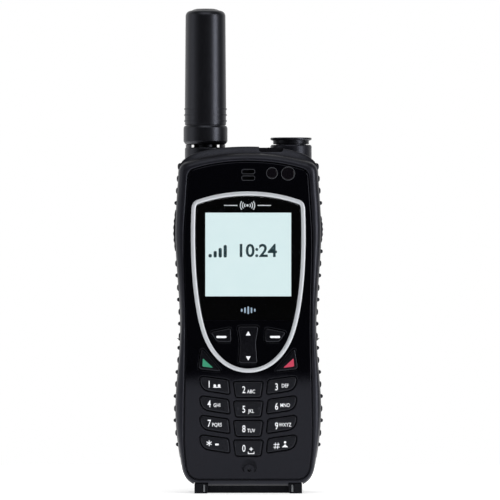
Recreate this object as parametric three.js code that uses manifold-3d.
// Satellite phone with a pull-out, tilting antenna.
// Millimetres. +Z is up, the face looks towards -Y, and the origin is under the middle of the base.

import * as THREE from 'three';
import { mergeVertices } from 'three/addons/utils/BufferGeometryUtils.js';
import Module from 'manifold-3d';

const wasm = await Module();
wasm.setup();

// ---------- Driving sizes ----------

const BODY_DEPTH = 32;
const BODY_BOTTOM = 3;
const BODY_CROWN = 138.6;
const RIM_CROWN = 135.8;
const ANTENNA_TOP = 194.2;
const GAP = 0.3;
const WALL = 2.4;
const FAR = 400;

// ---------- Layers from the front to the back ----------

const FRONT = -BODY_DEPTH / 2;
const BACK = BODY_DEPTH / 2;
const FACE_FRONT = FRONT + 0.4;
const FACE_BACK = FACE_FRONT + 1.2;
const SHELF_FRONT = FACE_BACK + GAP;
const SHELF_BACK = SHELF_FRONT + 1.4;
const KEY_FLANGE_FRONT = SHELF_BACK + GAP;
const KEY_FLANGE_BACK = KEY_FLANGE_FRONT + 0.8;
const MAT_DOME_FRONT = KEY_FLANGE_BACK + 0.8;
const MAT_FRONT = MAT_DOME_FRONT + 0.4;
const MAT_BACK = MAT_FRONT + 0.6;
const BOARD_FRONT = MAT_BACK + GAP;
const BOARD_BACK = BOARD_FRONT + 1.1;
const SPLIT_FRONT = -5.5;
const SPLIT_BACK = SPLIT_FRONT + GAP;
const BAY_FLOOR_FRONT = 0;
const BAY_FLOOR_BACK = 1.7;
const REAR_CAVITY_BACK = BACK - 3;

// ---------- Antenna, lying behind the split on the left ----------

const ANTENNA_X = -17.2;
const ANTENNA_Y = 5;
const PIVOT_Z = 127;
const BORE_RADIUS = 9.2;
const BARREL_RADIUS = BORE_RADIUS + 1;
const BORE_FLOOR = 65.4;
const SADDLE_BOTTOM = 126.5;
const CARRIAGE_RADIUS = BORE_RADIUS - GAP;
const CARRIAGE_BOTTOM = 114;
const KNUCKLE_RADIUS = 7.4;
const KNUCKLE_HALF_THICKNESS = 4.6;
const HEAD_RADIUS = 8.3;
const HEAD_BOTTOM = 131.5;
const HEAD_TOP = 138.4;
const SPIGOT_RADIUS = 4.65;
const SPIGOT_TOP = 150;
const COLLAR_BOTTOM = 139.6;
const COLLAR_TOP = 147.2;
const COLLAR_RADIUS = 8.85;
const PIN_RADIUS = 1.5;
const PIN_BORE_RADIUS = 1.6;
const PIN_HALF_LENGTH = 7.9;
const TUBE_RADIUS = 8.25;
const TUBE_TIP_RADIUS = 8.05;
const TUBE_WALL = 1.5;
const RIB_HEIGHTS = [149.2, 151.4, 154];
const ELEMENT_RADIUS = 4.2;

// ---------- Battery, base and fasteners ----------

const BATTERY_BOTTOM = 7;
const BATTERY_TOP = 62;
const BATTERY_FRONT = BAY_FLOOR_BACK + GAP;
const CAVITY_BOTTOM = 7;
const UPPER_CAVITY_BOTTOM = 66;
const REAR_CAVITY_TOP = 133.5;
const SCREW_SPOTS = [[-22.3, 11], [22.3, 11], [-4.6, 118], [22.4, 118]];
const SCREW_HEAD_BACK = BAY_FLOOR_BACK - 0.2;
const SCREW_HEAD_FRONT = SCREW_HEAD_BACK - 1;
const SCREW_HEAD_RADIUS = 1.9;
const SCREW_SHANK_RADIUS = 0.95;
const SCREW_POST_RADIUS = 2.4;
const SCREW_TIP = -11;

// ---------- Screen and keypad ----------

const SCREEN_HALF_WIDTH = 17.15;
const SCREEN_BOTTOM = 78.7;
const SCREEN_TOP = 112.1;
const RING_WIDTH = 1.7;
const RING_BACK = FRONT + 0.7;
const RING_GROOVE_BACK = RING_BACK + GAP;
const LENS_BOTTOM = 69.3;
const LENS_BACK = FACE_FRONT + 1;
const KEY_ROW_TOP = 44.6;
const KEY_ROW_PITCH = 7.8;
const KEY_FLANGE = 0.6;
const KEY_EDGE = 0.3;

// ---------- Materials ----------

const FINISHES = {
  rubber: { color: 0x2c3034, roughness: 0.85, metalness: 0 },
  casing: { color: 0x26282b, roughness: 0.7, metalness: 0 },
  glossBlack: { color: 0x08080a, roughness: 0.15, metalness: 0 },
  lens: { color: 0x101214, roughness: 0.05, metalness: 0 },
  silver: { color: 0xd4d6dc, roughness: 0.3, metalness: 0.8 },
  screen: { color: 0xd9edef, roughness: 0.4, metalness: 0 },
  key: { color: 0x16171a, roughness: 0.5, metalness: 0 },
  green: { color: 0x2c9c6c, roughness: 0.5, metalness: 0 },
  red: { color: 0xc83c58, roughness: 0.5, metalness: 0 },
  antenna: { color: 0x232427, roughness: 0.6, metalness: 0 },
  board: { color: 0x1d5a38, roughness: 0.6, metalness: 0 },
  metal: { color: 0xb9bcc0, roughness: 0.35, metalness: 0.9 },
  darkMetal: { color: 0x4a4c50, roughness: 0.4, metalness: 0.9 },
  silicone: { color: 0x9a9ea2, roughness: 0.9, metalness: 0 },
  ceramic: { color: 0xc9bfa6, roughness: 0.6, metalness: 0 },
  cell: { color: 0x3c5f8a, roughness: 0.5, metalness: 0 },
  gold: { color: 0xc9a13b, roughness: 0.3, metalness: 0.9 },
  orange: { color: 0xc8401c, roughness: 0.5, metalness: 0 },
};

const group = new THREE.Group();
group.name = 'satellite_phone';

function addPart(name, body, finish) {
  const mesh = new THREE.Mesh(geometryOf(body), new THREE.MeshStandardMaterial(FINISHES[finish]));
  mesh.name = name;
  group.add(mesh);
}

// ---------- Solid helpers ----------

function solidOf(geometry) {
  const bare = geometry.clone();
  bare.deleteAttribute('normal');
  bare.deleteAttribute('uv');
  const merged = mergeVertices(bare, 1e-4);
  return new wasm.Manifold(new wasm.Mesh({
    numProp: 3,
    vertProperties: new Float32Array(merged.attributes.position.array),
    triVerts: new Uint32Array(merged.index.array),
  }));
}

function geometryOf(body) {
  const mesh = body.getMesh();
  const geometry = new THREE.BufferGeometry();
  geometry.setAttribute('position', new THREE.BufferAttribute(new Float32Array(mesh.vertProperties), 3));
  geometry.setIndex(new THREE.BufferAttribute(new Uint32Array(mesh.triVerts), 1));
  geometry.computeVertexNormals();
  return geometry;
}

function box(x0, x1, y0, y1, z0, z1) {
  const geometry = new THREE.BoxGeometry(x1 - x0, y1 - y0, z1 - z0);
  geometry.translate((x0 + x1) / 2, (y0 + y1) / 2, (z0 + z1) / 2);
  return solidOf(geometry);
}

function uprightRod(radius, x, y, z0, z1, sides = 32) {
  const geometry = new THREE.CylinderGeometry(radius, radius, z1 - z0, sides);
  geometry.rotateX(Math.PI / 2);
  geometry.translate(x, y, (z0 + z1) / 2);
  return solidOf(geometry);
}

function depthRod(radius, x, z, y0, y1, sides = 18) {
  const geometry = new THREE.CylinderGeometry(radius, radius, y1 - y0, sides);
  geometry.translate(x, (y0 + y1) / 2, z);
  return solidOf(geometry);
}

function crossRod(radius, y, z, x0, x1, sides = 16) {
  const geometry = new THREE.CylinderGeometry(radius, radius, x1 - x0, sides);
  geometry.rotateZ(Math.PI / 2);
  geometry.translate((x0 + x1) / 2, y, z);
  return solidOf(geometry);
}

// A turned part. The profile lists [radius, height] pairs. It starts and ends on the axis,
// or closes on itself.
function turned(profile, x, y, sides = 32) {
  const points = profile.map(([radius, z]) => new THREE.Vector2(radius, z));
  const geometry = new THREE.LatheGeometry(points, sides);
  geometry.rotateX(Math.PI / 2);
  geometry.translate(x, y, 0);
  return solidOf(geometry);
}

// ---------- Outline helpers ----------
// An outline is a closed list of points in the front view (x to the right, z up), running anticlockwise.

function mirroredOutline(halfPath, divisions) {
  const right = halfPath.getPoints(divisions);
  const left = right.filter((point) => point.x > 1e-6).reverse();
  return right.concat(left.map((point) => new THREE.Vector2(-point.x, point.y)));
}

function insetOutline(outline, distance) {
  return outline.map((point, i) => {
    const before = outline[(i + outline.length - 1) % outline.length];
    const after = outline[(i + 1) % outline.length];
    const incoming = point.clone().sub(before).normalize();
    const outgoing = after.clone().sub(point).normalize();
    const inward = new THREE.Vector2(-incoming.y - outgoing.y, incoming.x + outgoing.x);
    return point.clone().addScaledVector(inward, (2 * distance) / inward.lengthSq());
  });
}

function roundedOutline(corners, radius, divisions = 2) {
  const path = new THREE.Path();
  corners.forEach(([x, z], i) => {
    const corner = new THREE.Vector2(x, z);
    const before = new THREE.Vector2(...corners[(i + corners.length - 1) % corners.length]);
    const after = new THREE.Vector2(...corners[(i + 1) % corners.length]);
    const start = corner.clone().add(before.sub(corner).setLength(radius));
    const end = corner.clone().add(after.sub(corner).setLength(radius));
    if (i === 0) path.moveTo(start.x, start.y);
    else path.lineTo(start.x, start.y);
    path.quadraticCurveTo(corner.x, corner.y, end.x, end.y);
  });
  const points = path.getPoints(divisions);
  return THREE.ShapeUtils.isClockWise(points) ? points.reverse() : points;
}

function circleOutline(x, z, radius, sides = 16) {
  return Array.from({ length: sides }, (_, i) => {
    const angle = (2 * Math.PI * i) / sides;
    return new THREE.Vector2(x + radius * Math.cos(angle), z + radius * Math.sin(angle));
  });
}

function pillOutline(x, z, width, height) {
  const radius = height / 2;
  const reach = width / 2 - radius;
  const path = new THREE.Path();
  path.absarc(x + reach, z, radius, -Math.PI / 2, Math.PI / 2);
  path.absarc(x - reach, z, radius, Math.PI / 2, (3 * Math.PI) / 2);
  return path.getPoints(4).slice(0, -1);
}

function flipped(outline) {
  return outline.map((point) => new THREE.Vector2(-point.x, point.y)).reverse();
}

// A solid made of one outline at several depths. Each step is [inset, y], from the front to the back.
function loft(outline, steps) {
  const count = outline.length;
  const positions = [];
  const triangles = [];
  for (const [inset, y] of steps) {
    insetOutline(outline, inset).forEach((point) => positions.push(point.x, y, point.y));
  }
  for (let ring = 0; ring < steps.length - 1; ring += 1) {
    for (let i = 0; i < count; i += 1) {
      const a = ring * count + i;
      const b = ring * count + ((i + 1) % count);
      triangles.push(a, a + count, b, b, a + count, b + count);
    }
  }
  const lastRing = (steps.length - 1) * count;
  const frontCap = anticlockwiseFaces(insetOutline(outline, steps[0][0]));
  const backCap = anticlockwiseFaces(insetOutline(outline, steps[steps.length - 1][0]));
  frontCap.forEach(([a, b, c]) => triangles.push(a, b, c));
  backCap.forEach(([a, b, c]) => triangles.push(lastRing + a, lastRing + c, lastRing + b));
  const geometry = new THREE.BufferGeometry();
  geometry.setAttribute('position', new THREE.BufferAttribute(new Float32Array(positions), 3));
  geometry.setIndex(triangles);
  return solidOf(geometry);
}

function anticlockwiseFaces(outline) {
  return THREE.ShapeUtils.triangulateShape(outline, []).map(([a, b, c]) => {
    const clockwise = THREE.ShapeUtils.area([outline[a], outline[b], outline[c]]) < 0;
    return clockwise ? [a, c, b] : [a, b, c];
  });
}

function slab(outline, y0, y1) {
  return loft(outline, [[0, y0], [0, y1]]);
}

// A quarter-round from the front edge of an outline back to its full width.
function roundedFront(radius, front, segments) {
  return Array.from({ length: segments + 1 }, (_, i) => {
    const angle = (Math.PI / 2) * (i / segments);
    return [radius * (1 - Math.sin(angle)), front + radius * (1 - Math.cos(angle))];
  });
}

function roundedBack(radius, back, segments) {
  return roundedFront(radius, 0, segments).reverse().map(([inset, depth]) => [inset, back - depth]);
}

// ---------- Outlines of the phone ----------

const SIDE_CURVE = [
  [28.5, 24], [28.9, 38], [27.1, 66], [28.9, 98], [28.9, 110], [27.9, 126],
].map(([x, z]) => new THREE.Vector2(x, z));

function bodySidePath() {
  const half = new THREE.Path();
  half.moveTo(0, BODY_BOTTOM);
  half.lineTo(18.5, BODY_BOTTOM);
  half.bezierCurveTo(23.4, BODY_BOTTOM, 25.9, 6.4, 26.6, 10.5);
  half.splineThru(SIDE_CURVE);
  return half;
}

function bodyOutline() {
  const half = bodySidePath();
  half.bezierCurveTo(27.9, 131.4, 27.2, 132.3, 25.2, 133.8);
  half.bezierCurveTo(22, 136.7, 13, BODY_CROWN, 0, BODY_CROWN);
  return mirroredOutline(half, 3);
}

function rimOutline() {
  const half = bodySidePath();
  half.bezierCurveTo(27.9, 130.2, 27, 131.8, 23.5, 132.7);
  half.bezierCurveTo(16, 134.6, 9, RIM_CROWN, 0, RIM_CROWN);
  return mirroredOutline(half, 3);
}

function faceOutline() {
  const half = new THREE.Path();
  half.moveTo(0, 5.8);
  half.lineTo(19.4, 5.8);
  half.bezierCurveTo(22.6, 5.8, 24.4, 8, 24.8, 12);
  half.splineThru([[25.5, 25], [24.9, 65], [25.5, 100], [24.6, 117], [24, 125.5]]
    .map(([x, z]) => new THREE.Vector2(x, z)));
  half.bezierCurveTo(23.9, 127.8, 23.2, 128.9, 21.6, 129.4);
  half.bezierCurveTo(15, 131.4, 8, 132.4, 0, 132.4);
  return mirroredOutline(half, 3);
}

function ringOutline() {
  const half = new THREE.Path();
  half.moveTo(0, 48.2);
  half.bezierCurveTo(8.5, 48.2, 15.5, 54.5, 18.6, 64.4);
  half.bezierCurveTo(22.6, 77, 23.4, 97, 22.7, 113.5);
  half.quadraticCurveTo(22.6, 116.6, 20.2, 117.3);
  half.quadraticCurveTo(10.5, 120.6, 0, 120.6);
  return mirroredOutline(half, 5);
}

const BODY = bodyOutline();
const RIM = rimOutline();
const FACE = faceOutline();
const RING = ringOutline();

function halfWidthAt(z) {
  const right = BODY.filter((point) => point.x > 0);
  const above = right.findIndex((point, i) => i > 0 && right[i - 1].y <= z && point.y >= z);
  const low = right[above - 1];
  const high = right[above];
  return low.x + ((high.x - low.x) * (z - low.y)) / (high.y - low.y);
}

// ---------- Keys ----------

const middleKey = (top) => [[-5.8, top], [5.8, top], [4.9, top - 6.1], [-4.9, top - 6.1]];
const leftKey = (top) => [[-19.4, top + 2.2], [-8, top + 0.6], [-7.4, top - 4.9], [-18.5, top - 3.2]];

const ROW_NAMES = [['1', '2', '3'], ['4', '5', '6'], ['7', '8', '9'], ['star', '0', 'hash']];

function keypadKeys() {
  return ROW_NAMES.flatMap(([left, middle, right], row) => {
    const top = KEY_ROW_TOP - row * KEY_ROW_PITCH;
    const sideOutline = roundedOutline(leftKey(top), 1.6);
    return [
      { name: `key_${left}`, outline: sideOutline, finish: 'key' },
      { name: `key_${middle}`, outline: roundedOutline(middleKey(top), 1), finish: 'key' },
      { name: `key_${right}`, outline: flipped(sideOutline), finish: 'key' },
    ];
  });
}

function commandKeys() {
  const soft = roundedOutline([[-15.2, 64.4], [-6.9, 66.1], [-6.7, 60.3], [-12.5, 60.4]], 1.1);
  const call = roundedOutline([[-18.1, 57.8], [-19.4, 50], [-10.6, 49.1]], 1.7);
  const rocker = roundedOutline(
    [[-4.2, 66.7], [4.2, 66.7], [3.1, 60], [3.75, 51.9], [-3.75, 51.9], [-3.1, 60]],
    1,
  );
  return [
    { name: 'soft_key_left', outline: soft, finish: 'key' },
    { name: 'soft_key_right', outline: flipped(soft), finish: 'key' },
    { name: 'call_key', outline: call, finish: 'green' },
    { name: 'end_key', outline: flipped(call), finish: 'red' },
    { name: 'navigation_rocker', outline: rocker, finish: 'key' },
  ];
}

const FACE_KEYS = [...keypadKeys(), ...commandKeys()];

function addFaceKeys() {
  for (const { name, outline, finish } of FACE_KEYS) {
    addPart(name, loft(outline, [
      [KEY_EDGE, FRONT],
      [0, FRONT + KEY_EDGE],
      [0, KEY_FLANGE_FRONT],
      [-KEY_FLANGE, KEY_FLANGE_FRONT],
      [-KEY_FLANGE, KEY_FLANGE_BACK],
    ]), finish);
  }
}

function keyOpenings() {
  return FACE_KEYS.map(({ outline }) => slab(insetOutline(outline, -GAP), FRONT - 1, SHELF_BACK + 0.1));
}

// ---------- Side keys and grips ----------

const GRIP_FRONT = -11.6;
const GRIP_BACK = 1;
const TALK_KEY = { name: 'talk_key', side: -1, y0: -9.5, y1: -4, z0: 96.5, z1: 113.5, stand: 1 };
const SIDE_KEY = { name: 'side_key', side: 1, y0: -9, y1: -4.5, z0: 100, z1: 111, stand: 0.9 };
const SIDE_KEY_FLANGE = 0.8;

// The part of the side wall between two insets, inside a window of the side view.
function sideBand(side, outerInset, innerInset, y0, y1, z0, z1) {
  const outer = slab(insetOutline(BODY, outerInset), y0, y1);
  const inner = slab(insetOutline(BODY, innerInset), y0 - 1, y1 + 1);
  const window = side < 0 ? box(-FAR, 0, y0, y1, z0, z1) : box(0, FAR, y0, y1, z0, z1);
  return outer.subtract(inner).intersect(window);
}

function sideKeyOpening({ side, y0, y1, z0, z1 }) {
  return sideBand(side, -3, WALL + 0.5, y0 - GAP, y1 + GAP, z0 - GAP, z1 + GAP);
}

function addSideKey({ name, side, y0, y1, z0, z1, stand }) {
  const cap = sideBand(side, -stand, WALL + 0.6, y0, y1, z0, z1);
  const flange = sideBand(
    side, WALL + GAP, WALL + 1.1,
    y0 - SIDE_KEY_FLANGE, y1 + SIDE_KEY_FLANGE, z0 - SIDE_KEY_FLANGE, z1 + SIDE_KEY_FLANGE,
  );
  addPart(name, cap.add(flange), 'rubber');
}

const GRIP_BOTTOM = 13.5;
const GRIP_TOP = 125;
const GRIP_DEPTH = 0.5;
const GRIP_PROUD = 0.15;
// Over the shoulder the grip is narrower, so that the antenna can tilt past it.
const SHOULDER_TOP = 132.3;
const SHOULDER_BACK = SPLIT_FRONT;

// Pointed studs on the rear row and flatter ones on the front row take turns along the grip.
const FIRST_STUD = 19.24;
const STUD_PITCH = 4.84;
const STUD_CLEARANCE = 2.5;
const REAR_STUD = { y: -3.2, size: [0.95, 1.25, 0.95] };
const FRONT_STUD = { y: -8.2, size: [0.6, 1.5, 1.5] };

function stud(side, { y, size }, z) {
  const geometry = new THREE.SphereGeometry(1, 8, 6);
  geometry.scale(...size);
  geometry.translate(side * (halfWidthAt(z) + GRIP_PROUD), y, z);
  return solidOf(geometry);
}

function addGrip(name, side, key) {
  let grip = sideBand(side, -GRIP_PROUD, GRIP_DEPTH, GRIP_FRONT, GRIP_BACK, GRIP_BOTTOM, GRIP_TOP)
    .add(sideBand(side, -GRIP_PROUD, GRIP_DEPTH, GRIP_FRONT, SHOULDER_BACK, GRIP_TOP - 1, SHOULDER_TOP));
  for (let i = 0; FIRST_STUD + i * STUD_PITCH < SHOULDER_TOP - 1; i += 1) {
    const z = FIRST_STUD + i * STUD_PITCH;
    const clearOfKey = z < key.z0 - STUD_CLEARANCE || z > key.z1 + STUD_CLEARANCE;
    const row = i % 2 === 0 && z < GRIP_TOP - 1 ? REAR_STUD : FRONT_STUD;
    if (clearOfKey) grip = grip.add(stud(side, row, z));
  }
  addPart(name, grip.subtract(sideKeyOpening(key)), 'rubber');
}

function gripRecess(side) {
  const floor = GRIP_DEPTH + GAP;
  const front = GRIP_FRONT - GAP;
  return sideBand(side, -3, floor, front, GRIP_BACK + GAP, GRIP_BOTTOM - GAP, GRIP_TOP + GAP)
    .add(sideBand(side, -3, floor, front, SHOULDER_BACK + GAP, GRIP_TOP - 1, SHOULDER_TOP + GAP));
}

// ---------- Base ----------

const BASE_HALF_WIDTH = 21.5;
const LEG_INNER = 16.3;
const BASE_TOP = 4.1;
const LEG_FRONT = -15;
const LEG_BACK = 14.5;
const BASE_FRONT = -9;
const BASE_BACK = 11;
const CONNECTOR_HALF_WIDTH = 7;
const CONNECTOR_HALF_DEPTH = 1.6;

function baseSolid(clearance, top) {
  const outer = BASE_HALF_WIDTH + clearance;
  const inner = LEG_INNER - clearance;
  const low = -clearance;
  const middle = box(-outer, outer, BASE_FRONT - clearance, BASE_BACK + clearance, low, top);
  const leftLeg = box(-outer, -inner, LEG_FRONT - clearance, LEG_BACK + clearance, low, top);
  const rightLeg = box(inner, outer, LEG_FRONT - clearance, LEG_BACK + clearance, low, top);
  return middle.add(leftLeg).add(rightLeg);
}

// The legs show in front, so their pocket runs out through the rim.
function basePocket() {
  const top = BASE_TOP + GAP;
  const inner = LEG_INNER - GAP;
  const outer = BASE_HALF_WIDTH + GAP;
  return baseSolid(GAP, top)
    .add(box(-outer, -inner, FRONT - 1, 0, -1, top))
    .add(box(inner, outer, FRONT - 1, 0, -1, top));
}

function addBase() {
  const socket = box(
    -CONNECTOR_HALF_WIDTH, CONNECTOR_HALF_WIDTH, -CONNECTOR_HALF_DEPTH, CONNECTOR_HALF_DEPTH, -1, 3.6,
  );
  addPart('base_block', baseSolid(0, BASE_TOP).subtract(socket), 'casing');
  addPart('base_connector', box(
    -CONNECTOR_HALF_WIDTH + GAP, CONNECTOR_HALF_WIDTH - GAP,
    -CONNECTOR_HALF_DEPTH + GAP, CONNECTOR_HALF_DEPTH - GAP, 0.8, 3.6 - GAP,
  ), 'gold');
}

// ---------- Front housing and face ----------

const EARPIECE_SLOTS = [128.5, 125.9];
const SLOT_IN_PLATE = [5.4, 2];
const SLOT_IN_SHELF = [4.4, 1.2];
const WINDOWS = [
  { name: 'light_sensor_window', x: 9.5, z: 127.9, radius: 2.1 },
  { name: 'status_window', x: 15.9, z: 127.7, radius: 2.55 },
];
const MIC_X = 0.4;
const MIC_Z = 9.5;
const MIC_HOLE_RADIUS = 0.8;
const MIC_DISH = { radius: 3, rise: 1.2, depth: 0.6, innerRadius: 2.1 };
const LCD_HALF_WIDTH = 18.7;
const LCD_BOTTOM = 76.8;
const LCD_TOP = 114.7;
const LCD_FRONT = -13.4;
const LCD_BACK = -10.9;

function screwBore(radius, x, z, y0, y1) {
  return depthRod(radius, x, z, y0, y1, 16);
}

function addFrontHousing() {
  const rim = loft(RIM, [...roundedFront(3.2, FRONT, 3), [0, -10]]);
  const shell = loft(BODY, [...roundedFront(2.5, -13, 2), [0, SPLIT_FRONT]]);
  const cavity = slab(insetOutline(BODY, WALL), SHELF_BACK, 0)
    .intersect(box(-FAR, FAR, SHELF_BACK, 0, CAVITY_BOTTOM, FAR));
  const faceRecess = slab(insetOutline(FACE, -0.5), FRONT - 1, SHELF_FRONT);
  const lcdOpening = box(
    -LCD_HALF_WIDTH - GAP, LCD_HALF_WIDTH + GAP, FRONT - 1, 0, LCD_BOTTOM - GAP, LCD_TOP + GAP,
  );
  let housing = rim.add(shell).subtract(cavity).subtract(faceRecess);
  for (const [x, z] of SCREW_SPOTS) {
    housing = housing.add(screwBore(SCREW_POST_RADIUS, x, z, SHELF_BACK - 0.1, SPLIT_FRONT));
    housing = housing.subtract(screwBore(SCREW_SHANK_RADIUS + GAP, x, z, SCREW_TIP - GAP, 0));
  }
  for (const opening of keyOpenings()) housing = housing.subtract(opening);
  for (const z of EARPIECE_SLOTS) {
    housing = housing.subtract(slab(pillOutline(0, z, ...SLOT_IN_SHELF), FRONT, 0));
  }
  housing = housing
    .subtract(lcdOpening)
    .subtract(depthRod(MIC_HOLE_RADIUS, MIC_X, MIC_Z, FRONT, SHELF_BACK + 0.1, 12))
    .subtract(gripRecess(-1))
    .subtract(gripRecess(1))
    .subtract(sideKeyOpening(TALK_KEY))
    .subtract(sideKeyOpening(SIDE_KEY))
    .subtract(basePocket())
    .subtract(sosTabPocket());
  addPart('front_housing', housing, 'casing');
}

function lensRegion(inset, bottom) {
  return slab(insetOutline(RING, inset), -FAR, FAR).intersect(box(-FAR, FAR, -FAR, FAR, bottom, FAR));
}

function ringGroove() {
  const outer = slab(insetOutline(RING, -GAP), FRONT - 1, RING_GROOVE_BACK);
  const inner = slab(insetOutline(RING, RING_WIDTH + GAP), FRONT - 2, RING_GROOVE_BACK + 1);
  return outer.subtract(inner);
}

function addFacePlate() {
  const edge = 0.35;
  let plate = loft(FACE, [[edge, FACE_FRONT], [0, FACE_FRONT + edge], [0, FACE_BACK]]);
  plate = plate.subtract(lensRegion(0.7, LENS_BOTTOM - GAP)).subtract(ringGroove());
  for (const opening of keyOpenings()) plate = plate.subtract(opening);
  for (const z of EARPIECE_SLOTS) {
    plate = plate.subtract(slab(pillOutline(0, z, ...SLOT_IN_PLATE), FRONT, SHELF_FRONT));
  }
  for (const { x, z, radius } of WINDOWS) {
    plate = plate.subtract(depthRod(radius + 0.25, x, z, FRONT, SHELF_FRONT));
  }
  const { radius: dishRadius, rise, depth, innerRadius } = MIC_DISH;
  const micDish = slab(circleOutline(MIC_X, MIC_Z + rise, dishRadius), FRONT, FACE_FRONT + depth)
    .subtract(slab(circleOutline(MIC_X, MIC_Z, innerRadius), FRONT - 1, FACE_FRONT + 1));
  const micHole = depthRod(MIC_HOLE_RADIUS, MIC_X, MIC_Z, FRONT, SHELF_FRONT, 12);
  addPart('face_plate', plate.subtract(micDish).subtract(micHole), 'glossBlack');
}

function addFaceTrim() {
  const ringEdge = 0.35;
  const ringInner = slab(insetOutline(RING, RING_WIDTH), FRONT - 1, 0);
  const ring = loft(RING, [[ringEdge, FRONT], [0, FRONT + ringEdge], [0, RING_BACK]]).subtract(ringInner);
  addPart('oval_trim_ring', ring, 'silver');
  const lens = lensRegion(1, LENS_BOTTOM)
    .intersect(box(-FAR, FAR, FACE_FRONT, LENS_BACK, 0, FAR))
    .subtract(ringGroove());
  addPart('display_lens', lens, 'lens');
  for (const { name, x, z, radius } of WINDOWS) {
    addPart(name, depthRod(radius, x, z, FACE_FRONT, FACE_BACK, 20), 'glossBlack');
  }
}

function lcdSlab(front, back) {
  return box(-LCD_HALF_WIDTH, LCD_HALF_WIDTH, front, back, LCD_BOTTOM, LCD_TOP);
}

function addDisplay() {
  const window = box(-SCREEN_HALF_WIDTH, SCREEN_HALF_WIDTH, FRONT, 0, SCREEN_BOTTOM, SCREEN_TOP);
  const frame = lcdSlab(LENS_BACK + GAP, LCD_FRONT - GAP).subtract(window);
  addPart('display_frame', frame, 'glossBlack');
  addPart('display_module', lcdSlab(LCD_FRONT, LCD_BACK), 'screen');
}

// ---------- Inside the front housing ----------

function outlineCentre(outline) {
  const sum = outline.reduce((total, point) => total.add(point), new THREE.Vector2());
  return sum.divideScalar(outline.length);
}

const MAT_HALF_WIDTH = 20.4;
const MAT_BOTTOM = 14.2;
const MAT_TOP = 68.6;
const DOME_RADIUS = 2.2;
const BOARD_HALF_WIDTH = 19.4;
const BOARD_BOTTOM = 9;
const BOARD_TOP = 115.4;
const CAN = { halfWidth: 15, bottom: 72, top: 108, depth: 2.2, wall: 0.5 };

function roundedSheet(halfWidth, bottom, top, radius) {
  return roundedOutline(
    [[-halfWidth, bottom], [halfWidth, bottom], [halfWidth, top], [-halfWidth, top]],
    radius,
  );
}

function addKeypadMat() {
  let mat = slab(roundedSheet(MAT_HALF_WIDTH, MAT_BOTTOM, MAT_TOP, 3), MAT_FRONT, MAT_BACK);
  for (const { outline } of FACE_KEYS) {
    const centre = outlineCentre(outline);
    mat = mat.add(depthRod(DOME_RADIUS, centre.x, centre.y, MAT_DOME_FRONT, MAT_FRONT + 0.1, 8));
  }
  addPart('keypad_mat', mat, 'silicone');
}

function addBoards() {
  const board = roundedSheet(BOARD_HALF_WIDTH, BOARD_BOTTOM, BOARD_TOP, 2);
  addPart('main_board', slab(board, BOARD_FRONT, BOARD_BACK), 'board');
  const { halfWidth, bottom, top, depth, wall } = CAN;
  const front = BOARD_BACK + GAP;
  const inside = box(
    wall - halfWidth, halfWidth - wall, front - 1, front + depth - wall, bottom + wall, top - wall,
  );
  const outside = box(-halfWidth, halfWidth, front, front + depth, bottom, top);
  addPart('shield_can', outside.subtract(inside), 'metal');
}

const EARPIECE = { radius: 5, depth: 2.6 };
const MICROPHONE = { radius: 2.2, depth: 1.5 };
const LOUDSPEAKER = { radius: 8, depth: 2.8 };
const VIBRATION_MOTOR = { radius: 2.2, y: -1, z: 72, x0: 3, x1: 13 };

function addSoundParts() {
  const front = SHELF_BACK + GAP;
  const earpieceZ = (EARPIECE_SLOTS[0] + EARPIECE_SLOTS[1]) / 2;
  const earpiece = depthRod(EARPIECE.radius, 0, earpieceZ, front, front + EARPIECE.depth);
  addPart('earpiece_speaker', earpiece, 'darkMetal');
  const microphone = depthRod(
    MICROPHONE.radius, MIC_X, MIC_Z + 0.1, front, front + MICROPHONE.depth, 16,
  );
  addPart('microphone', microphone, 'darkMetal');
  const speakerBack = REAR_CAVITY_BACK - GAP;
  const loudspeaker = depthRod(
    LOUDSPEAKER.radius, SPEAKER_X, SPEAKER_Z, speakerBack - LOUDSPEAKER.depth, speakerBack,
  );
  addPart('loudspeaker', loudspeaker, 'darkMetal');
  const { radius, y, z, x0, x1 } = VIBRATION_MOTOR;
  addPart('vibration_motor', crossRod(radius, y, z, x0, x1), 'metal');
}

// ---------- Rear housing ----------

const SPEAKER_X = 12.5;
const SPEAKER_Z = 98;
const GPS_X = 17.2;
const GPS_BOSS_BOTTOM = 124;
const GPS_BOSS_TOP = 139.5;
const GPS_BORE_BOTTOM = 130;
const GPS_BORE_RADIUS = 6.3;
const GPS_PATCH = { half: 4, bottom: 131, top: 134.5 };
const LATCH = { x0: 3.3, x1: 12.7, z0: 64.8, z1: 69, front: 14.6, back: 15.6, travel: 2 };
const SIM = { halfWidth: 12.5, z0: 30, z1: 45, front: 0.9, back: 1.66 };

function speakerHoles() {
  const pitch = 3.2;
  const spots = [[SPEAKER_X, SPEAKER_Z]];
  for (let i = 0; i < 6; i += 1) {
    const angle = (Math.PI / 3) * i;
    spots.push([SPEAKER_X + pitch * Math.cos(angle), SPEAKER_Z + pitch * Math.sin(angle)]);
  }
  return spots.map(([x, z]) => depthRod(0.9, x, z, REAR_CAVITY_BACK - 1, BACK + 1, 8));
}

function rearCavity() {
  const inside = slab(insetOutline(BODY, WALL), SPLIT_BACK - 1, REAR_CAVITY_BACK);
  const lower = box(-FAR, FAR, SPLIT_BACK - 1, BAY_FLOOR_FRONT, CAVITY_BOTTOM, UPPER_CAVITY_BOTTOM + 1);
  const upper = box(-FAR, FAR, SPLIT_BACK - 1, REAR_CAVITY_BACK, UPPER_CAVITY_BOTTOM, REAR_CAVITY_TOP);
  return inside.intersect(lower.add(upper));
}

function simRecess() {
  const { halfWidth, z0, z1, front } = SIM;
  return box(-halfWidth - GAP, halfWidth + GAP, front - GAP, FAR, z0 - GAP, z1 + GAP);
}

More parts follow.
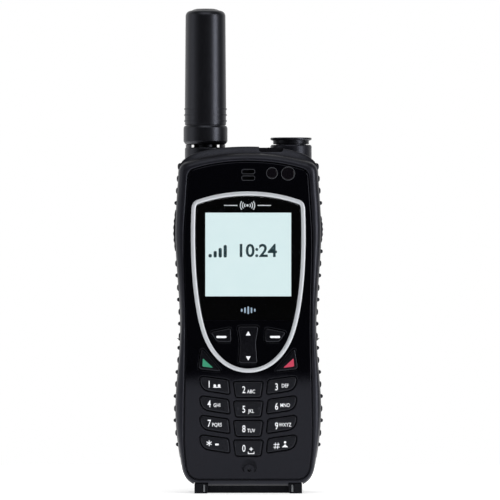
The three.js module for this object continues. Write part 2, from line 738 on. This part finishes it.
function latchPocket() {
  const { x0, x1, z0, z1, front, travel } = LATCH;
  return box(x0 - GAP, x1 + GAP, front - GAP, BACK + 1, z0 - GAP, z1 + travel + GAP);
}

function antennaBore() {
  const bore = uprightRod(BORE_RADIUS, ANTENNA_X, ANTENNA_Y, BORE_FLOOR, FAR, 40);
  const saddle = box(
    -FAR, ANTENNA_X, ANTENNA_Y - BORE_RADIUS, ANTENNA_Y + BORE_RADIUS, SADDLE_BOTTOM, FAR,
  );
  return bore.add(saddle);
}

function addRearHousing() {
  const full = loft(BODY, [[0, SPLIT_BACK], ...roundedBack(2.8, BACK, 3)]);
  const batteryBay = box(-FAR, FAR, BAY_FLOOR_BACK, FAR, BATTERY_BOTTOM - GAP, BATTERY_TOP + GAP);
  const barrel = uprightRod(BARREL_RADIUS, ANTENNA_X, ANTENNA_Y, BORE_FLOOR - 1.2, FAR, 40).intersect(full);
  const gpsBoss = uprightRod(HEAD_RADIUS, GPS_X, ANTENNA_Y, GPS_BOSS_BOTTOM, GPS_BOSS_TOP);
  const gpsBossLightening = uprightRod(
    HEAD_RADIUS - 2, GPS_X, ANTENNA_Y, GPS_BOSS_BOTTOM - 1, GPS_BORE_BOTTOM - 1,
  );
  let housing = full.subtract(rearCavity()).add(barrel).add(gpsBoss).subtract(gpsBossLightening);
  for (const [x, z] of SCREW_SPOTS) {
    const postBack = z < BATTERY_TOP ? BAY_FLOOR_FRONT + 0.1 : REAR_CAVITY_BACK + 0.1;
    housing = housing.add(screwBore(SCREW_HEAD_RADIUS + 1, x, z, SPLIT_BACK, postBack));
    housing = housing.subtract(screwBore(SCREW_HEAD_RADIUS + GAP, x, z, SCREW_HEAD_FRONT - 0.1, FAR));
    housing = housing.subtract(screwBore(SCREW_SHANK_RADIUS + GAP, x, z, SPLIT_BACK - 1, 1));
  }
  housing = housing
    .subtract(batteryBay)
    .subtract(antennaBore())
    .subtract(uprightRod(GPS_BORE_RADIUS, GPS_X, ANTENNA_Y, GPS_BORE_BOTTOM, FAR))
    .subtract(gripRecess(-1))
    .subtract(gripRecess(1))
    .subtract(sideKeyOpening(TALK_KEY))
    .subtract(sideKeyOpening(SIDE_KEY))
    .subtract(basePocket())
    .subtract(sosPocket())
    .subtract(sosTabPocket())
    .subtract(latchPocket())
    .subtract(simRecess());
  for (const hole of speakerHoles()) housing = housing.subtract(hole);
  addPart('rear_housing', housing, 'casing');
}

function addRearFittings() {
  addPart('sim_card', box(-SIM.halfWidth, SIM.halfWidth, SIM.front, SIM.back, SIM.z0, SIM.z1), 'gold');
  addPart('gps_cap', turned([
    [0, 135.5],
    [GPS_BORE_RADIUS - GAP, 135.5],
    [GPS_BORE_RADIUS - GAP, GPS_BOSS_TOP + GAP],
    [7.2, GPS_BOSS_TOP + GAP],
    [7.2, 141.2],
    [8.3, 141.5],
    [8.3, 142.4],
    [0, 142.4],
  ], GPS_X, ANTENNA_Y, 24), 'antenna');
  const { half, bottom, top } = GPS_PATCH;
  const patch = box(GPS_X - half, GPS_X + half, ANTENNA_Y - half, ANTENNA_Y + half, bottom, top);
  addPart('gps_patch_antenna', patch, 'ceramic');
  SCREW_SPOTS.forEach(([x, z], i) => {
    const head = depthRod(SCREW_HEAD_RADIUS, x, z, SCREW_HEAD_FRONT, SCREW_HEAD_BACK, 16);
    const shank = depthRod(SCREW_SHANK_RADIUS, x, z, SCREW_TIP, SCREW_HEAD_FRONT + 0.1, 12);
    const drive = box(x - 0.3, x + 0.3, SCREW_HEAD_BACK - 0.4, SCREW_HEAD_BACK + 1, z - 1.2, z + 1.2);
    addPart(`case_screw_${i + 1}`, head.add(shank).subtract(drive), 'metal');
  });
}

// ---------- Emergency button and its cover ----------

const SOS = {
  x0: -5, x1: 7.6, front: -3.9, hingeY: 11.2, hingeZ: 137.4,
  bottom: 136.7, top: 138.2, tabX0: 4.6, tabX1: 13.6, tabFront: -6.6,
};
const SOS_BUTTON = { x: 1.3, y: 4.2, radius: 3.5, top: 136.2, flangeTop: REAR_CAVITY_TOP - GAP };
const SOS_PIN_RADIUS = 0.5;
const SOS_EDGE_RADIUS = 0.8;

function sosPocket() {
  const floor = SOS.bottom - GAP;
  return box(SOS.x0 - GAP, SOS.x1 + GAP, SPLIT_BACK - 1, SOS.hingeY + SOS_EDGE_RADIUS + GAP, floor, FAR)
    .add(uprightRod(SOS_BUTTON.radius + GAP, SOS_BUTTON.x, SOS_BUTTON.y, REAR_CAVITY_TOP - 3, FAR, 24))
    .add(crossRod(SOS_PIN_RADIUS + 0.1, SOS.hingeY, SOS.hingeZ, SOS.x0 - 1.2, SOS.x1 + 1.2));
}

// The pocket runs out to the front, so that a fingertip reaches the tab.
function sosTabPocket() {
  return box(SOS.tabX0 - GAP, SOS.tabX1 + GAP, FRONT + 2, SOS.front + GAP, SOS.bottom - GAP, FAR);
}

function addSosParts() {
  const plate = box(SOS.x0, SOS.x1, SOS.front, SOS.hingeY, SOS.bottom, SOS.top);
  const edge = crossRod(SOS_EDGE_RADIUS, SOS.hingeY, SOS.hingeZ, SOS.x0, SOS.x1);
  const tab = box(SOS.tabX0, SOS.tabX1, SOS.tabFront, SOS.front + 0.1, SOS.bottom, SOS.top);
  const pinBore = crossRod(SOS_PIN_RADIUS + 0.1, SOS.hingeY, SOS.hingeZ, SOS.x0 - 1, SOS.x1 + 1);
  addPart('sos_cover', plate.add(edge).add(tab).subtract(pinBore), 'rubber');
  const pin = crossRod(SOS_PIN_RADIUS, SOS.hingeY, SOS.hingeZ, SOS.x0 - 0.9, SOS.x1 + 0.9, 12);
  addPart('sos_hinge_pin', pin, 'metal');
  const { x, y, radius, top, flangeTop } = SOS_BUTTON;
  addPart('sos_button', turned([
    [0, flangeTop - 1],
    [radius + 0.9, flangeTop - 1],
    [radius + 0.9, flangeTop],
    [radius, flangeTop],
    [radius, top - 0.4],
    [radius - 0.4, top],
    [0, top],
  ], x, y, 24), 'orange');
}

// ---------- Battery ----------

const BATTERY_HOLLOW = { halfWidth: 22.6, end: 2.4, back: 2 };
const BATTERY_LID = { halfWidth: 23.4, end: 1.6, thickness: 1.2 };
const CELL = { halfWidth: 22, end: 2.8, back: 2.4 };

// A box inside the battery, reaching to `end` from its two ends.
function batteryBox({ halfWidth, end }, front, back) {
  return box(-halfWidth, halfWidth, front, back, BATTERY_BOTTOM + end, BATTERY_TOP - end);
}

function addBattery() {
  const outer = loft(BODY, [[0, BATTERY_FRONT], ...roundedBack(2.8, BACK, 3)])
    .intersect(box(-FAR, FAR, BATTERY_FRONT, BACK, BATTERY_BOTTOM, BATTERY_TOP));
  const hollow = batteryBox(BATTERY_HOLLOW, 0, BACK - BATTERY_HOLLOW.back);
  const lidBack = BATTERY_FRONT + BATTERY_LID.thickness;
  const lidRecess = batteryBox(BATTERY_LID, 0, lidBack);
  addPart('battery_case', outer.subtract(hollow).subtract(lidRecess), 'casing');
  const lidSize = { halfWidth: BATTERY_LID.halfWidth - GAP, end: BATTERY_LID.end + GAP };
  addPart('battery_lid', batteryBox(lidSize, BATTERY_FRONT, lidBack - GAP), 'key');
  addPart('battery_cell', batteryBox(CELL, lidBack + GAP, BACK - CELL.back), 'cell');
  const { x0, x1, z0, z1, front, back } = LATCH;
  const middle = (z0 + z1) / 2;
  const ridge = crossRod(0.35, back, middle, x0 + 1, x1 - 1, 8);
  const latch = box(x0, x1, front, back, z0, z1).add(ridge);
  addPart('battery_latch', latch, 'key');
}

// ---------- Antenna ----------

function forkArms() {
  const armHalfWidth = 3.6;
  const slotHalf = KNUCKLE_HALF_THICKNESS + GAP;
  const lowFloor = PIVOT_Z - KNUCKLE_RADIUS - GAP;
  const left = ANTENNA_X - armHalfWidth;
  const right = ANTENNA_X + armHalfWidth;
  const blade = box(left, right, ANTENNA_Y - FAR, ANTENNA_Y + FAR, lowFloor - 1, PIVOT_Z)
    .add(depthRod(armHalfWidth, ANTENNA_X, PIVOT_Z, -FAR, FAR));
  const slot = box(-FAR, FAR, ANTENNA_Y - slotHalf, ANTENNA_Y + slotHalf, lowFloor, FAR);
  return blade.subtract(slot).intersect(uprightRod(CARRIAGE_RADIUS, ANTENNA_X, ANTENNA_Y, 0, FAR, 40));
}

function addAntennaCarriage() {
  const floor = PIVOT_Z - KNUCKLE_RADIUS - GAP;
  const disc = uprightRod(CARRIAGE_RADIUS, ANTENNA_X, ANTENNA_Y, CARRIAGE_BOTTOM, floor, 40);
  const pinBore = depthRod(PIN_BORE_RADIUS, ANTENNA_X, PIVOT_Z, -FAR, FAR);
  addPart('antenna_carriage', disc.add(forkArms()).subtract(pinBore), 'antenna');
  const pin = depthRod(
    PIN_RADIUS, ANTENNA_X, PIVOT_Z, ANTENNA_Y - PIN_HALF_LENGTH, ANTENNA_Y + PIN_HALF_LENGTH,
  );
  addPart('antenna_pin', pin, 'metal');
}

function addAntennaMast() {
  const half = KNUCKLE_HALF_THICKNESS;
  const tongue = depthRod(KNUCKLE_RADIUS, ANTENNA_X, PIVOT_Z, ANTENNA_Y - half, ANTENNA_Y + half, 32)
    .add(box(
      ANTENNA_X - KNUCKLE_RADIUS, ANTENNA_X + KNUCKLE_RADIUS,
      ANTENNA_Y - half, ANTENNA_Y + half, PIVOT_Z, HEAD_BOTTOM + 0.1,
    ));
  const head = turned([
    [0, HEAD_BOTTOM],
    [HEAD_RADIUS, HEAD_BOTTOM],
    [HEAD_RADIUS, HEAD_TOP],
    [SPIGOT_RADIUS, HEAD_TOP],
    [SPIGOT_RADIUS, SPIGOT_TOP],
    [0, SPIGOT_TOP],
  ], ANTENNA_X, ANTENNA_Y);
  const pinBore = depthRod(PIN_BORE_RADIUS, ANTENNA_X, PIVOT_Z, -FAR, FAR);
  addPart('antenna_knuckle', tongue.add(head).subtract(pinBore), 'antenna');

  addPart('antenna_collar', turned([
    [SPIGOT_RADIUS + GAP, COLLAR_BOTTOM],
    [7.9, COLLAR_BOTTOM],
    [COLLAR_RADIUS, COLLAR_BOTTOM + 1.2],
    [COLLAR_RADIUS, COLLAR_TOP - 0.4],
    [COLLAR_RADIUS - 0.4, COLLAR_TOP],
    [SPIGOT_RADIUS + GAP, COLLAR_TOP],
    [SPIGOT_RADIUS + GAP, COLLAR_BOTTOM],
  ], ANTENNA_X, ANTENNA_Y), 'antenna');

  const rib = (z) => [[8.2, z - 0.5], [8.55, z], [8.2, z + 0.5]];
  addPart('antenna_tube', turned([
    [TUBE_RADIUS - TUBE_WALL, COLLAR_TOP + GAP],
    [TUBE_RADIUS, COLLAR_TOP + GAP],
    ...RIB_HEIGHTS.flatMap(rib),
    [TUBE_RADIUS, 156],
    [TUBE_TIP_RADIUS, ANTENNA_TOP - 1.2],
    [7.7, ANTENNA_TOP - 0.35],
    [6.9, ANTENNA_TOP],
    [0, ANTENNA_TOP],
    [0, ANTENNA_TOP - 2],
    [TUBE_TIP_RADIUS - TUBE_WALL, ANTENNA_TOP - 2],
    [TUBE_RADIUS - TUBE_WALL, COLLAR_TOP + GAP],
  ], ANTENNA_X, ANTENNA_Y), 'antenna');

  const element = uprightRod(
    ELEMENT_RADIUS, ANTENNA_X, ANTENNA_Y, SPIGOT_TOP + GAP, ANTENNA_TOP - 3, 20,
  );
  addPart('antenna_element', element, 'gold');
}

// ---------- Assembly ----------

addFrontHousing();
addFacePlate();
addFaceTrim();
addDisplay();
addFaceKeys();
addKeypadMat();
addBoards();
addSoundParts();
addRearHousing();
addRearFittings();
addSosParts();
addSideKey(TALK_KEY);
addSideKey(SIDE_KEY);
addGrip('left_grip', -1, TALK_KEY);
addGrip('right_grip', 1, SIDE_KEY);
addBase();
addBattery();
addAntennaCarriage();
addAntennaMast();

export default group;
